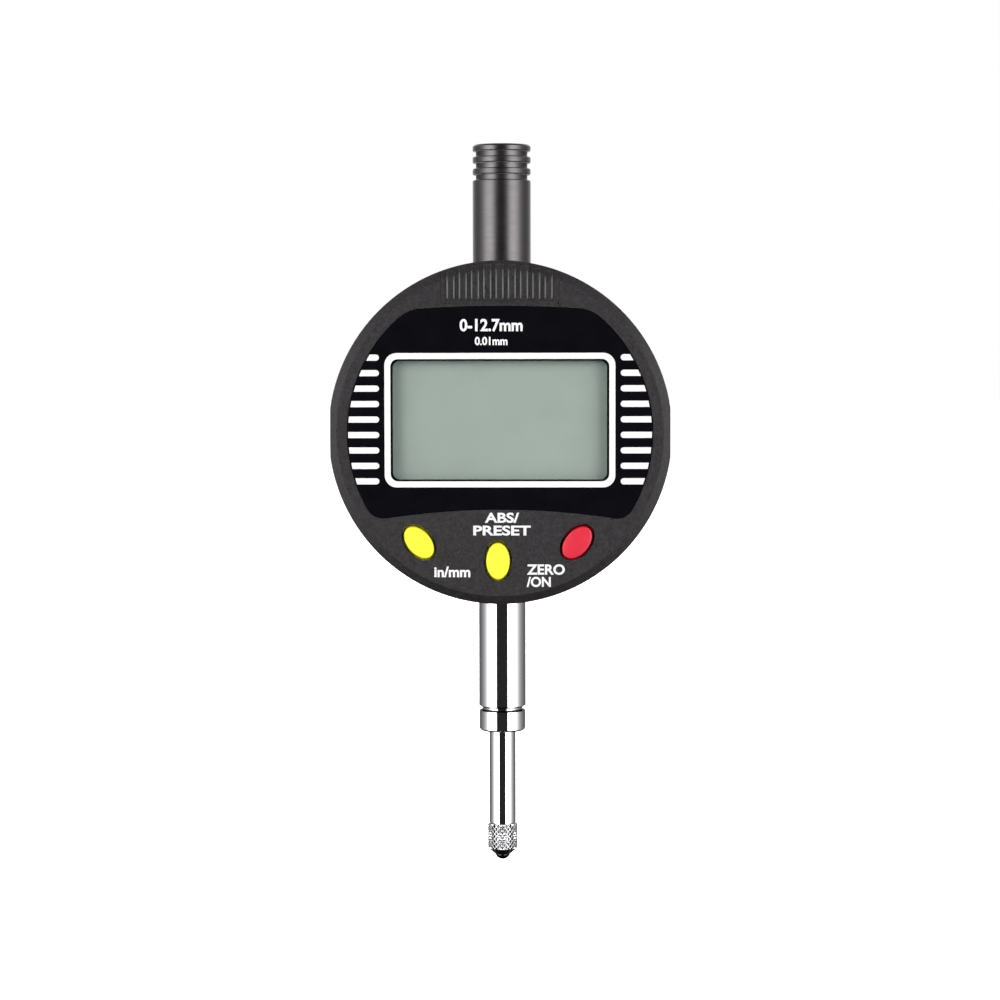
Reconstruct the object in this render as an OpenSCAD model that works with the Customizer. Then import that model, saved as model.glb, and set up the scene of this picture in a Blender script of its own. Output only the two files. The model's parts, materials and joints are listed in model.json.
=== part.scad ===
// Digital dial indicator, 12.7 mm travel, 8 mm stem.
// Origin: spindle axis, middle of the stem's clamping length. +Z up, front faces -Y.

/* [Case] */
// Radius of the round case
case_r = 28.5; // [28:0.1:30]
// Half width across the two side flats
flat_half = 28.2; // [27.6:0.1:28.4]
// Front face position in front of the spindle axis
front_y = -13; // [-13.4:0.1:-12.8]
// Plane where the front cover meets the housing
split_y = -5.1;
// Plane where the housing meets the rear cover
rear_y = 9.5; // [9:0.1:11]
// Thickness of the rear cover
rear_t = 2.5; // [2:0.1:3.5]
// Wall thickness of the round rim
wall = 2; // [1.6:0.1:2.2]
// Chamfer around the front face
chamfer = 1.45; // [0.8:0.1:1.5]

/* [Lug] */
// Thickness of the lug on the rear cover
lug_t = 5; // [4:0.5:6]
// Radius of the lug hole
lug_hole_r = 3.25; // [3:0.05:3.5]
// Distance of the lug hole behind the spindle axis
lug_y = 18.5; // [18:0.5:22]

/* [Stem and spindle] */
// Radius of the stem
stem_r = 4; // [4:0.05:4.5]
// Length of plain stem that a holder can clamp
stem_clamp_l = 18; // [16:0.1:24]
// Radius of the spindle
spindle_r = 2.25; // [2:0.05:2.4]
// Distance the spindle moves
travel = 12.7; // [10:0.1:12.7]
// Depth of the V groove above the stem's collar
groove_d = 0.6; // [0.3:0.05:0.6]
// Height of the V groove
groove_h = 0.9; // [0.6:0.1:1.2]
// Height of the collar below the groove
collar_h = 3.85; // [2:0.05:5]
// Spindle showing between the collar and the contact point
spindle_show = 16.05; // [14:0.05:18]

/* [Contact point] */
// Radius of the knurled body
contact_r = 2.55; // [2.3:0.05:2.8]
// Height of the knurled body
contact_h = 4.3; // [3:0.1:6]
// Height of the cone under it
cone_h = 1.1; // [0.8:0.1:1.2]
// Radius of the ball
ball_r = 1.35; // [1.3:0.05:1.4]

/* [Dust cap] */
// Outer radius of the cap tube
cap_r = 4.9; // [4.8:0.05:4.95]
// Height of the cap top above the case centre
cap_top = 48.25; // [48:0.05:52]
// Spacing of the three grip ridges
ridge_pitch = 1.96; // [1.8:0.01:2.1]
// Depth of the grooves between the ridges
ridge_d = 0.55; // [0.3:0.1:0.8]

/* [Display] */
// Radius of the panel's two side arcs
panel_r = 25.3; // [24.5:0.1:25.6]
// Height of the panel's top edge above the case centre
panel_top = 20.95;
// Depth of the panel's bottom edge below the case centre
panel_bottom = 12.67;
// Width of the visible display
view_w = 35.4; // [34:0.1:36]
// Height of the visible display
view_h = 19.6; // [18:0.1:20]
// Height of the display centre above the case centre
view_z = 2.13;

/* [Buttons] */
// Half length of the oval buttons
button_a = 3.05; // [2.8:0.05:3.1]
// Half width of the oval buttons
button_b = 1.95; // [1.8:0.05:2.1]
// Half distance between the outer buttons
button_x = 13.1;
// Sideways shift of the button group from the case centre
button_shift = -0.33;
// Depth of the outer buttons below the case centre
button_z = 18.1;
// Depth of the middle button below the case centre
button_mid_z = 21.2;
// Lean of the outer buttons in degrees
button_lean = 40; // [30:1:45]
// Distance the buttons stand proud of the face
button_proud = 0.6; // [0.5:0.05:0.9]

/* [Battery] */
// Radius of the button cell
cell_r = 5.8;
// Thickness of the button cell
cell_t = 5.4;
// Number of grip ribs on the drawer
ribs = 9; // [5:2:9]
// Spacing of the grip ribs
rib_pitch = 2.02; // [1.9:0.01:2.1]
// Width of each grip rib
rib_w = 1.15; // [0.8:0.05:1.3]
// Height that the ribs stand proud
rib_proud = 0.3; // [0.2:0.05:0.4]

/* [Fits] */
// Clearance around pieces that are fixed together
fixed_gap = 0.02;
// Radial clearance of the spindle in its bushes
running_gap = 0.04; // [0.02:0.01:0.08]
// Clearance around pieces that drop in or slide
loose_gap = 0.1;

/* [Hidden] */
$fn = 96;
eps = 0.01;
relief_h = 0.3;
groove_flat = 0.16;
case_z = stem_clamp_l / 2 + relief_h + case_r;
back_y = rear_y + rear_t;
inner_r = case_r - wall;
panel_t = 0.8;
face_in_y = front_y + 1.8;
block_w = 14.6;
block_bottom = -20;
block_top = 20;
spot_z = case_r - 0.6;
window_t = 0.75;
window_margin = 1.3;
glass_margin = 1.2;
glass_y = face_in_y + 0.1;
glass_t = 2;
pcb_y = -7.7;
pcb_t = 1;
pcb_r = 25.6;
pcb_top = 13.4;
boss_r = 1.9;
screw_r = 1;
boss_ring = 24.4;
boss_angles = [43, 137, 211, -31];
post_r = 1.5;
post_screw_r = 0.7;
posts = [[-23.5, 2], [23.5, 2], [-8, -13.6], [8, -13.6]];
button_at = [[button_shift - button_x, -button_z, button_lean], [button_shift, -button_mid_z, 0],
    [button_shift + button_x, -button_z, -button_lean]];
recess = 0.45;
flange_extra = 0.9;
flange_t = 0.6;
press = 0.5;
switch_size = 4.5;
switch_t = 1.4;
nub_r = 0.9;
nub_y = pcb_y - switch_t - 0.5;
cell_y = face_in_y + 0.2;
cell_z = 20.4;
drawer_w = 19.5;
seam = 0.05;
drawer_bottom = 21.45;
drawer_t = 1.75;
tray_w = 14.8;
tray_back = -5.4;
rail_w = 1.2;
rail_bottom = 9;
rail_top = 17;
tray_low = 16;
guide_low = 14.6;
guide_t = 1;
finger_gap_w = 7.2;
finger_gap_low = 15;
shank_r = 3.5;
bush_r = 3;
neck_r = 3.8;
neck_top = 33.5;
cap_bore_top = cap_top - 1.5;
collar_r = stem_r - 0.06;
relief_r = stem_r - 0.3;
stem_low = -stem_clamp_l / 2 - groove_h / 2;
collar_low = stem_low - collar_h;
contact_top = collar_low - spindle_show;
contact_low = contact_top - contact_h;
ball_z = contact_low - cone_h + 0.5;
over_travel = 1.25;
spindle_top = case_z + cap_bore_top - travel - over_travel;
stud_r = 1.2;
stud_l = 5;
carrier_w = 9;
carrier_low = -19;
carrier_high = -9;
carrier_front = -5.3;
carrier_back = 8.2;
scale_t = 0.8;
scale_low = -18.5;
scale_high = -1;
rod_y = 6.5;
rod_r = 1;
rod_hold = 3.9;
coil_r = 3;
wire_r = 0.22;
coils = 9;

// Everything in the case is drawn around the case centre.
module at_case() {
    translate([0, 0, case_z])
    children();
}

// A flat shape in X and Z, drawn from y0 back to y1.
module slab(y0, y1) {
    translate([0, y1, 0])
    rotate([90, 0, 0])
    linear_extrude(height = y1 - y0)
    children();
}

// A round rod along Y from y0 back to y1.
module rod_y_axis(r, y0, y1) {
    translate([0, y1, 0])
    rotate([90, 0, 0])
    cylinder(r = r, h = y1 - y0);
}

module block(x0, x1, y0, y1, z0, z1) {
    translate([x0, y0, z0])
    cube([x1 - x0, y1 - y0, z1 - z0]);
}

module oval(a, b) {
    rotate(90)
    scale([a / b, 1])
    circle(r = b);
}

module rounded_rect(w, h, r) {
    square([w - 2 * r, h], center = true);
    square([w, h - 2 * r], center = true);
    for (x = [-1, 1], z = [-1, 1])
        translate([x * (w / 2 - r), z * (h / 2 - r)])
        circle(r = r);
}

module case_outline(r) {
    intersection() {
        circle(r = r);
        square([2 * (flat_half - case_r + r), 4 * case_r], center = true);
    }
}

// The outer skin of the front, with its conical chamfer.
module front_skin(y1) {
    intersection() {
        rotate([90, 0, 0])
        rotate_extrude()
        polygon([[0, -y1], [case_r, -y1], [case_r, -front_y - chamfer], [case_r - chamfer, -front_y],
            [0, -front_y]]);
        slab(front_y, y1)
        square([2 * flat_half, 4 * case_r], center = true);
    }
}

module panel_sharp() {
    top_arc = 200;
    bottom_arc = 125;
    difference() {
        intersection() {
            circle(r = panel_r, $fn = 180);
            translate([0, panel_top - top_arc])
            circle(r = top_arc, $fn = 720);
        }
        translate([0, -panel_bottom - bottom_arc])
        circle(r = bottom_arc, $fn = 360);
    }
}

// The panel's outline, with wide upper corners and tighter lower ones.
module panel_outline(grow) {
    upper_r = 6;
    lower_r = 3;
    for (half = [[1, upper_r], [-1, lower_r]])
        intersection() {
            offset(r = half[1] + grow)
            offset(delta = -half[1])
            panel_sharp();
            translate([0, half[0] * (case_r - eps)])
            square([2 * case_r, 2 * case_r], center = true);
        }
}

module at_bosses() {
    for (a = boss_angles)
        translate([boss_ring * cos(a), 0, boss_ring * sin(a)])
        children();
}

module at_posts() {
    for (p = posts)
        translate([p[0], 0, p[1]])
        children();
}

module front_cover() {
    color([0.25, 0.24, 0.25])
    at_case()
    difference() {
        union() {
            difference() {
                front_skin(split_y);
                slab(face_in_y, split_y + 1)
                case_outline(inner_r);
            }
            at_bosses()
            rod_y_axis(boss_r, face_in_y - eps, split_y);
            at_posts()
            rod_y_axis(post_r, face_in_y - eps, pcb_y);
            intersection() {
                for (s = [-1, 1])
                    translate([s * (tray_w + guide_t + 0.3) / 2, 0, 0])
                    block(-guide_t / 2, guide_t / 2, face_in_y - eps, split_y, guide_low, case_r);
                rod_y_axis(case_r - 1, front_y, split_y);
            }
        }
        slab(front_y - 1, front_y + panel_t)
        panel_outline(loose_gap / 2);
        translate([0, 0, view_z])
        slab(front_y, face_in_y + 1)
        rounded_rect(view_w + 2 * window_margin + loose_gap, view_h + 2 * window_margin + loose_gap, 1);
        for (b = button_at)
            translate([b[0], 0, b[1]])
            slab(front_y - 1, face_in_y + 1)
            rotate(b[2])
            oval(button_a + recess, button_b + recess);
        block(-drawer_w / 2 - seam, drawer_w / 2 + seam, front_y - 1, face_in_y + eps,
            drawer_bottom - seam, case_r + 1);
        block(-tray_w / 2 - loose_gap, tray_w / 2 + loose_gap, face_in_y - eps, split_y + 1,
            cell_z, case_r + 1);
        at_bosses()
        rod_y_axis(screw_r + fixed_gap, face_in_y + 1.2, split_y + 1);
        at_posts()
        rod_y_axis(post_screw_r + fixed_gap, face_in_y + 0.4, pcb_y + 1);
    }
}

module display_panel() {
    color([0.06, 0.06, 0.08])
    at_case()
    difference() {
        slab(front_y, front_y + panel_t)
        panel_outline(0);
        translate([0, 0, view_z])
        slab(front_y - 1, front_y + panel_t + 1)
        rounded_rect(view_w, view_h, 1.15);
    }
}

module lcd_window() {
    color([0.8, 0.85, 0.85, 0.3])
    at_case()
    translate([0, 0, view_z])
    slab(front_y + panel_t + eps, front_y + panel_t + eps + window_t)
    rounded_rect(view_w + 2 * window_margin, view_h + 2 * window_margin, 1);
}

module lcd_glass() {
    color([0.6, 0.66, 0.62])
    at_case()
    translate([0, 0, view_z])
    slab(glass_y, glass_y + glass_t)
    square([view_w + 2 * glass_margin, view_h + 2 * glass_margin], center = true);
}

module lcd_holder() {
    holder_w = view_w + 4.8;
    holder_h = view_h + 5;
    color([0.85, 0.85, 0.82])
    at_case()
    translate([0, 0, view_z])
    difference() {
        slab(glass_y, pcb_y - eps)
        square([holder_w, holder_h], center = true);
        slab(glass_y - 1, glass_y + glass_t + eps)
        square([view_w + 2 * glass_margin + loose_gap, view_h + 2 * glass_margin + loose_gap], center = true);
        slab(glass_y, pcb_y + 1)
        square([view_w, view_h + 1.2], center = true);
    }
}

module zebra_strips() {
    strip_h = 2;
    strip_w = 33;
    color([0.9, 0.5, 0.6])
    at_case()
    for (s = [-1, 1])
        translate([0, 0, view_z + s * (view_h / 2 + 0.5 - strip_h / 2)])
        slab(glass_y + glass_t + 2 * eps, pcb_y - eps)
        square([strip_w, strip_h], center = true);
}

module main_pcb() {
    color([0.1, 0.35, 0.18])
    at_case()
    difference() {
        slab(pcb_y, pcb_y + pcb_t)
        intersection() {
            circle(r = pcb_r);
            translate([-pcb_r, -pcb_r])
            square([2 * pcb_r, pcb_r + pcb_top]);
        }
        at_bosses()
        rod_y_axis(boss_r + 0.3, pcb_y - 1, pcb_y + 2);
        at_posts()
        rod_y_axis(post_screw_r + fixed_gap, pcb_y - 1, pcb_y + 2);
        for (s = [-1, 1])
            translate([s * (tray_w - rail_w) / 2, 0, 0])
            block(-rail_w / 2 - 0.2, rail_w / 2 + 0.2, pcb_y - 1, pcb_y + 2, rail_bottom - 0.4, pcb_top + 1);
    }
}

module chip_blob() {
    blob_r = 3.2;
    dome_r = 5.6;
    blob_h = 1;
    color([0.05, 0.05, 0.05])
    at_case()
    translate([0, pcb_y - eps, view_z])
    rotate([90, 0, 0])
    intersection() {
        translate([0, 0, blob_h - dome_r])
        sphere(r = dome_r);
        cylinder(r = blob_r, h = 3);
    }
}

module key_switches() {
    color([0.15, 0.15, 0.15])
    at_case()
    for (b = button_at)
        translate([b[0], 0, b[1]]) {
            slab(pcb_y - switch_t, pcb_y - eps)
            square([switch_size, switch_size], center = true);
            rod_y_axis(nub_r, nub_y, pcb_y - switch_t + eps);
        }
}

module pcb_screws() {
    head_r = 1.35;
    head_h = 0.75;
    color([0.75, 0.75, 0.77])
    at_case()
    at_posts()
    difference() {
        union() {
            rod_y_axis(post_screw_r, face_in_y + 0.8, pcb_y + pcb_t + eps);
            rod_y_axis(head_r, pcb_y + pcb_t + eps, pcb_y + pcb_t + head_h);
        }
        cross_slot(pcb_y + pcb_t + head_h, 1.6, 0.4);
    }
}

// A cross slot cut from the back, reaching forward from y.
module cross_slot(y, w, d) {
    slot_t = 0.35;
    block(-w / 2, w / 2, y - d, y + 1, -slot_t / 2, slot_t / 2);
    block(-slot_t / 2, slot_t / 2, y - d, y + 1, -w / 2, w / 2);
}

module button(i, tint) {
    b = button_at[i];
    rim = 0.25;
    color(tint)
    at_case()
    translate([b[0], 0, b[1]]) {
        slab(front_y - button_proud + rim, face_in_y + 0.06)
        rotate(b[2])
        oval(button_a, button_b);
        translate([0, front_y - button_proud + rim + eps, 0])
        rotate([90, 0, 0])
        linear_extrude(height = rim + eps, scale = 0.87)
        rotate(b[2])
        oval(button_a, button_b);
        slab(face_in_y + 0.05, face_in_y + 0.05 + flange_t)
        rotate(b[2])
        oval(button_a + flange_extra, button_b + flange_extra);
        rod_y_axis(nub_r + 0.3, face_in_y + flange_t, nub_y - press - 0.05);
    }
}

module button_unit() {
    button(0, [0.95, 0.9, 0.15]);
}

module button_abs() {
    button(1, [0.95, 0.9, 0.15]);
}

module button_zero() {
    button(2, [0.85, 0.12, 0.18]);
}

module battery_drawer() {
    rib_low = drawer_bottom + 0.45;
    color([0.25, 0.24, 0.25])
    at_case()
    difference() {
        union() {
            intersection() {
                front_skin(front_y + drawer_t);
                block(-drawer_w / 2, drawer_w / 2, front_y, front_y + drawer_t, drawer_bottom, case_r);
            }
            intersection() {
                for (i = [0 : ribs - 1])
                    translate([(i - (ribs - 1) / 2) * rib_pitch, 0, 0])
                    block(-rib_w / 2, rib_w / 2, front_y - rib_proud, front_y + eps, rib_low, case_r);
                rod_y_axis(case_r - chamfer, front_y - 1, front_y + 1);
            }
            intersection() {
                union() {
                    block(-tray_w / 2, tray_w / 2, front_y + drawer_t - eps, tray_back, tray_low, case_r);
                    for (s = [-1, 1])
                        translate([s * (tray_w - rail_w) / 2, 0, 0])
                        block(-rail_w / 2, rail_w / 2, pcb_y + 0.1, tray_back, rail_bottom, rail_top);
                }
                rod_y_axis(case_r, front_y, tray_back + 1);
            }
        }
        translate([0, 0, cell_z])
        rod_y_axis(cell_r + loose_gap, cell_y - 0.1, tray_back + 1);
        block(-finger_gap_w / 2, finger_gap_w / 2, face_in_y + loose_gap, tray_back + 1,
            finger_gap_low, cell_z);
        block(-drawer_w, drawer_w, front_y + drawer_t - 2 * eps, cell_y - 0.1, finger_gap_low, drawer_bottom);
    }
}

module battery_cell() {
    cap_d = 0.5;
    color([0.8, 0.8, 0.8])
    at_case()
    translate([0, 0, cell_z])
    rotate([90, 0, 0])
    rotate_extrude()
    polygon([[0, -cell_y], [cell_r - 0.3, -cell_y], [cell_r, -cell_y - 0.3], [cell_r, -cell_y - cell_t + 1],
        [cell_r - 0.7, -cell_y - cell_t + cap_d], [cell_r - 1, -cell_y - cell_t], [0, -cell_y - cell_t]]);
}

module battery_contacts() {
    strip_t = 0.2;
    strip_y = cell_y + cell_t + 0.05;
    foot_y = pcb_y + pcb_t + eps;
    foot_z = pcb_top - 1.2;
    half_w = 1.5;
    side_x0 = 2.2;
    side_x1 = 3.4;
    side_top = 14.9;
    color([0.85, 0.75, 0.45])
    at_case() {
        block(-half_w, half_w, foot_y, foot_y + strip_t, foot_z, pcb_top + strip_t);
        block(-half_w, half_w, foot_y, strip_y + strip_t, pcb_top, pcb_top + strip_t);
        block(-half_w, half_w, strip_y, strip_y + strip_t, pcb_top, cell_z);
        block(side_x0, side_x1, foot_y, foot_y + strip_t, foot_z, side_top);
    }
}

module housing() {
    hole_over = 5;
    color([0.2, 0.2, 0.21])
    at_case()
    difference() {
        union() {
            difference() {
                slab(split_y, rear_y)
                case_outline(case_r);
                slab(split_y - 1, rear_y + 1)
                case_outline(inner_r);
            }
            intersection() {
                union() {
                    block(-block_w / 2, block_w / 2, split_y, rear_y, block_top, case_r);
                    block(-block_w / 2, block_w / 2, split_y, rear_y, -case_r, block_bottom);
                }
                rod_y_axis(case_r - wall / 2, split_y, rear_y);
            }
            at_bosses()
            rod_y_axis(boss_r + 0.3, split_y, rear_y);
        }
        at_bosses()
        rod_y_axis(screw_r + loose_gap, split_y - 1, rear_y + 1);
        translate([0, 0, spot_z])
        cylinder(r = cap_r + loose_gap / 2, h = hole_over);
        translate([0, 0, block_top - 1])
        cylinder(r = shank_r + fixed_gap, h = case_r - block_top + hole_over);
        translate([0, 0, -spot_z - hole_over])
        cylinder(r = stem_r + fixed_gap, h = hole_over);
        translate([0, 0, -case_r - hole_over])
        cylinder(r = shank_r + fixed_gap, h = case_r + block_bottom + hole_over + 1);
        translate([0, rod_y, block_bottom - rod_hold - 0.1])
        cylinder(r = rod_r + fixed_gap, h = block_top - block_bottom + 2 * rod_hold + 0.2);
    }
}

module top_bush() {
    color([0.75, 0.62, 0.35])
    at_case()
    rotate_extrude()
    polygon([[spindle_r + running_gap, block_top], [shank_r, block_top], [shank_r, spot_z + eps],
        [neck_r, spot_z + eps], [neck_r, neck_top - 0.4], [neck_r - 0.4, neck_top],
        [spindle_r + running_gap, neck_top]]);
}

module dust_cap() {
    low = spot_z + 2 * eps;
    skirt_top = neck_top + 1;
    bore_r = 3.1;
    ridge_h = 1.05;
    gap_h = 0.9;
    edge = 0.15;
    top_edge = 0.3;
    first = cap_top - 2 * ridge_pitch - 1.12;
    ridge = [[ridge_d, 0], [edge, 0], [0, edge], [0, ridge_h - edge], [edge, ridge_h], [ridge_d, ridge_h]];
    color([0.12, 0.12, 0.13])
    at_case()
    difference() {
        rotate_extrude()
        polygon(concat(
            [[0, low], [cap_r, low], [cap_r, first - gap_h - edge], [cap_r - edge, first - gap_h],
                [cap_r - ridge_d, first - gap_h]],
            [for (i = [0 : 1], p = ridge) [cap_r - p[0], first + i * ridge_pitch + p[1]]],
            [[cap_r - ridge_d, first + 2 * ridge_pitch], [cap_r - edge, first + 2 * ridge_pitch],
                [cap_r, first + 2 * ridge_pitch + edge], [cap_r, cap_top - top_edge],
                [cap_r - top_edge, cap_top], [0, cap_top]]));
        translate([0, 0, low - 1])
        cylinder(r = neck_r + fixed_gap, h = skirt_top - low + 1);
        cylinder(r = bore_r, h = cap_bore_top);
    }
}

module stem() {
    color([0.8, 0.8, 0.82])
    difference() {
        rotate_extrude()
        polygon([[0, case_z + block_bottom], [shank_r, case_z + block_bottom], [shank_r, case_z - spot_z - eps],
            [relief_r, case_z - spot_z - eps], [relief_r, stem_clamp_l / 2], [stem_r, stem_clamp_l / 2],
            [stem_r, -stem_clamp_l / 2], [stem_r - groove_d, stem_low + groove_flat / 2],
            [stem_r - groove_d, stem_low], [0, stem_low]]);
        translate([0, 0, stem_low - 1])
        cylinder(r = bush_r + fixed_gap, h = case_z);
    }
}

module end_bush() {
    edge = 0.3;
    sleeve_top = stem_low + 8;
    color([0.8, 0.8, 0.82])
    rotate_extrude()
    polygon([[spindle_r + running_gap, sleeve_top], [bush_r, sleeve_top], [bush_r, stem_low - eps],
        [stem_r - groove_d, stem_low - eps], [stem_r - groove_d, stem_low - groove_flat / 2],
        [collar_r, stem_low - groove_h / 2],
        [collar_r, collar_low + edge], [collar_r - edge, collar_low], [spindle_r + running_gap, collar_low]]);
}

module guide_rod() {
    color([0.8, 0.8, 0.82])
    at_case()
    translate([0, rod_y, block_bottom - rod_hold])
    cylinder(r = rod_r, h = block_top - block_bottom + 2 * rod_hold);
}

module bumper_ring() {
    color([0.08, 0.08, 0.08])
    at_case()
    translate([0, 0, block_bottom + eps])
    difference() {
        cylinder(r = 4.2, h = carrier_low - block_bottom - 3 * eps);
        translate([0, 0, -1])
        cylinder(r = spindle_r + 0.35, h = 4);
    }
}

// Coil of round wire: each level cut is the wire's own oval section bent around the axis.
module return_spring() {
    low = carrier_high + 0.05;
    high = block_top - 0.05;
    pitch = (high - low) / coils;
    half = 360 * wire_r / pitch;
    color([0.7, 0.7, 0.72])
    at_case()
    translate([0, 0, low])
    linear_extrude(height = high - low, twist = -360 * coils, slices = coils * 18, $fn = 18)
    polygon([for (s = [-1, 1], i = [-4 : 3])
        let (a = -s * i * half / 4)
        let (w = sqrt(max(0, wire_r * wire_r - pow(a * pitch / 360, 2))))
        [(coil_r - s * w) * cos(a), (coil_r - s * w) * sin(a)]]);
}

module spindle() {
    color([0.8, 0.8, 0.82])
    difference() {
        rotate_extrude()
        polygon([[0, contact_top + eps], [spindle_r - 0.2, contact_top + eps], [spindle_r, contact_top + 0.2],
            [spindle_r, spindle_top - 0.4], [spindle_r - 0.4, spindle_top], [0, spindle_top]]);
        translate([0, 0, contact_top - 1])
        cylinder(r = stud_r + fixed_gap, h = stud_l + 1.5);
    }
}

module slider_carrier() {
    color([0.35, 0.36, 0.38])
    at_case()
    difference() {
        union() {
            block(-carrier_w / 2, carrier_w / 2, carrier_front, carrier_back, carrier_low, carrier_high);
            block(-carrier_w / 2, carrier_w / 2, carrier_front, carrier_front + 1, carrier_low, scale_high);
        }
        translate([0, 0, carrier_low - 1])
        cylinder(r = spindle_r + fixed_gap, h = 30);
        translate([0, rod_y, carrier_low - 1])
        cylinder(r = rod_r + running_gap, h = 30);
        at_grub_screws()
        cylinder(r = screw_r + fixed_gap, h = carrier_w);
    }
}

module at_grub_screws() {
    for (z = [carrier_low + 2.5, carrier_high - 2.5])
        translate([spindle_r - eps, 0, z])
        rotate([0, 90, 0])
        children();
}

module carrier_screws() {
    length = carrier_w / 2 - spindle_r - 0.2;
    color([0.2, 0.2, 0.22])
    at_case()
    at_grub_screws()
    difference() {
        translate([0, 0, 0.05])
        cylinder(r = screw_r, h = length);
        translate([0, 0, length - 1])
        cylinder(r = 0.5, h = 3, $fn = 6);
    }
}

module slider_scale() {
    color([0.15, 0.4, 0.25])
    at_case()
    block(-carrier_w / 2, carrier_w / 2, carrier_front - scale_t, carrier_front - eps, scale_low, scale_high);
}

module contact_point() {
    shoulder = 0.35;
    color([0.3, 0.3, 0.31])
    difference() {
        rotate_extrude()
        polygon([[0, contact_low - cone_h], [ball_r - 0.1, contact_low - cone_h],
            [contact_r - 0.15, contact_low], [contact_r, contact_low + 0.15],
            [contact_r, contact_top - shoulder], [contact_r - shoulder, contact_top],
            [stud_r, contact_top], [stud_r, contact_top + stud_l], [0, contact_top + stud_l]]);
        translate([0, 0, ball_z])
        sphere(r = ball_r + eps);
    }
}

module contact_ball() {
    color([0.1, 0.1, 0.11])
    translate([0, 0, ball_z])
    sphere(r = ball_r);
}

module rear_cover() {
    edge = 0.8;
    lug_half = 6.5;
    foot_w = 1.5;
    foot_h = 1.2;
    color([0.2, 0.2, 0.21])
    at_case()
    difference() {
        union() {
            intersection() {
                rotate([-90, 0, 0])
                rotate_extrude()
                polygon([[0, rear_y + eps], [case_r, rear_y + eps], [case_r, back_y - edge],
                    [case_r - edge, back_y], [0, back_y]]);
                slab(rear_y, back_y)
                square([2 * flat_half, 4 * case_r], center = true);
            }
            block(-lug_t / 2, lug_t / 2, back_y - eps, lug_y, -lug_half, lug_half);
            translate([-lug_t / 2, lug_y, 0])
            rotate([0, 90, 0])
            cylinder(r = lug_half, h = lug_t);
            block(-lug_t / 2 - foot_w, lug_t / 2 + foot_w, back_y - eps, back_y + foot_h,
                -lug_half - foot_w, lug_half + foot_w);
        }
        translate([-lug_t, lug_y, 0])
        rotate([0, 90, 0])
        cylinder(r = lug_hole_r, h = 2 * lug_t);
        at_bosses() {
            rod_y_axis(screw_r + loose_gap, rear_y - 1, back_y + 1);
            screw_head(loose_gap, 1);
        }
    }
}

// The sunk head of a case screw, with a cone under it.
module screw_head(grow, over) {
    head_r = 1.9;
    head_h = 0.4;
    rotate([-90, 0, 0])
    rotate_extrude()
    polygon([[0, back_y - head_h - head_r + screw_r], [screw_r + grow, back_y - head_h - head_r + screw_r],
        [head_r + grow, back_y - head_h], [head_r + grow, back_y + over], [0, back_y + over]]);
}

module case_screws() {
    color([0.7, 0.7, 0.72])
    at_case()
    at_bosses()
    difference() {
        union() {
            screw_head(0, -0.1);
            rod_y_axis(screw_r, face_in_y + 1.6, back_y - 1);
        }
        cross_slot(back_y - 0.1, 2.2, 0.7);
    }
}

front_cover();
display_panel();
lcd_window();
lcd_glass();
lcd_holder();
zebra_strips();
main_pcb();
chip_blob();
key_switches();
pcb_screws();
button_unit();
button_abs();
button_zero();
battery_drawer();
battery_cell();
battery_contacts();
housing();
top_bush();
dust_cap();
stem();
end_bush();
guide_rod();
bumper_ring();
return_spring();
spindle();
slider_carrier();
carrier_screws();
slider_scale();
contact_point();
contact_ball();
rear_cover();
case_screws();
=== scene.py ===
import json
import math

import bmesh
import bpy
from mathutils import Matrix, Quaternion, Vector


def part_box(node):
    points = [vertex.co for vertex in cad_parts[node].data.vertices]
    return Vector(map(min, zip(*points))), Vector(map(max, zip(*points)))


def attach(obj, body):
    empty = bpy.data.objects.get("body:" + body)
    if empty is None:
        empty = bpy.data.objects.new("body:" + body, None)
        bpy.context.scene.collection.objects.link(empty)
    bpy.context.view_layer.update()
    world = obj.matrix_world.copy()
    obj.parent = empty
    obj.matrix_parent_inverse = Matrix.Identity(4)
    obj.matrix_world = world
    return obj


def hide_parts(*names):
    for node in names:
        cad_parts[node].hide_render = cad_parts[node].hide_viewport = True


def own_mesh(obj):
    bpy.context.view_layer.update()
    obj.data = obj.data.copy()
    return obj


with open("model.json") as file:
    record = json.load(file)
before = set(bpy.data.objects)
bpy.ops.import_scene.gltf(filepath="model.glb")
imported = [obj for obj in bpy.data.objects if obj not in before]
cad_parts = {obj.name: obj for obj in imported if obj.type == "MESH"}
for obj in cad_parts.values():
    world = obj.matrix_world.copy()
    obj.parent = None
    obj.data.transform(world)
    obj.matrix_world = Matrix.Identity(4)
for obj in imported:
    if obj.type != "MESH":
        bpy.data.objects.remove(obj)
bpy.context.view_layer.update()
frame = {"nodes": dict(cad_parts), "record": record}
MM = 0.001

# ---------------------------------------------------------------- places read from the frame
case_lo, case_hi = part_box("housing")
glass_lo, glass_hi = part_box("lcd_glass")
contact_lo, contact_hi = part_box("contact_point")
knob_lo, knob_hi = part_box("contact_ball")
CASE_Z = (case_lo.z + case_hi.z) / 2
FACE_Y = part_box("display_panel")[0].y
COVER_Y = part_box("front_cover")[0].y
VIEW_Z = (glass_lo.z + glass_hi.z) / 2
GROOVE_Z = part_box("stem")[0].z


# ---------------------------------------------------------------- mesh helpers
def mesh_object(name, verts, faces, smooth_angle=None):
    """A mesh object with its normals made to point outwards."""
    me = bpy.data.meshes.new(name)
    me.from_pydata([tuple(v) for v in verts], [], [tuple(f) for f in faces])
    bm = bmesh.new()
    bm.from_mesh(me)
    bmesh.ops.remove_doubles(bm, verts=bm.verts, dist=1e-8)
    bmesh.ops.recalc_face_normals(bm, faces=bm.faces)
    bm.to_mesh(me)
    bm.free()
    ob = bpy.data.objects.new(name, me)
    bpy.context.scene.collection.objects.link(ob)
    if smooth_angle is not None:
        smooth(ob, smooth_angle)
    return ob


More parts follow.
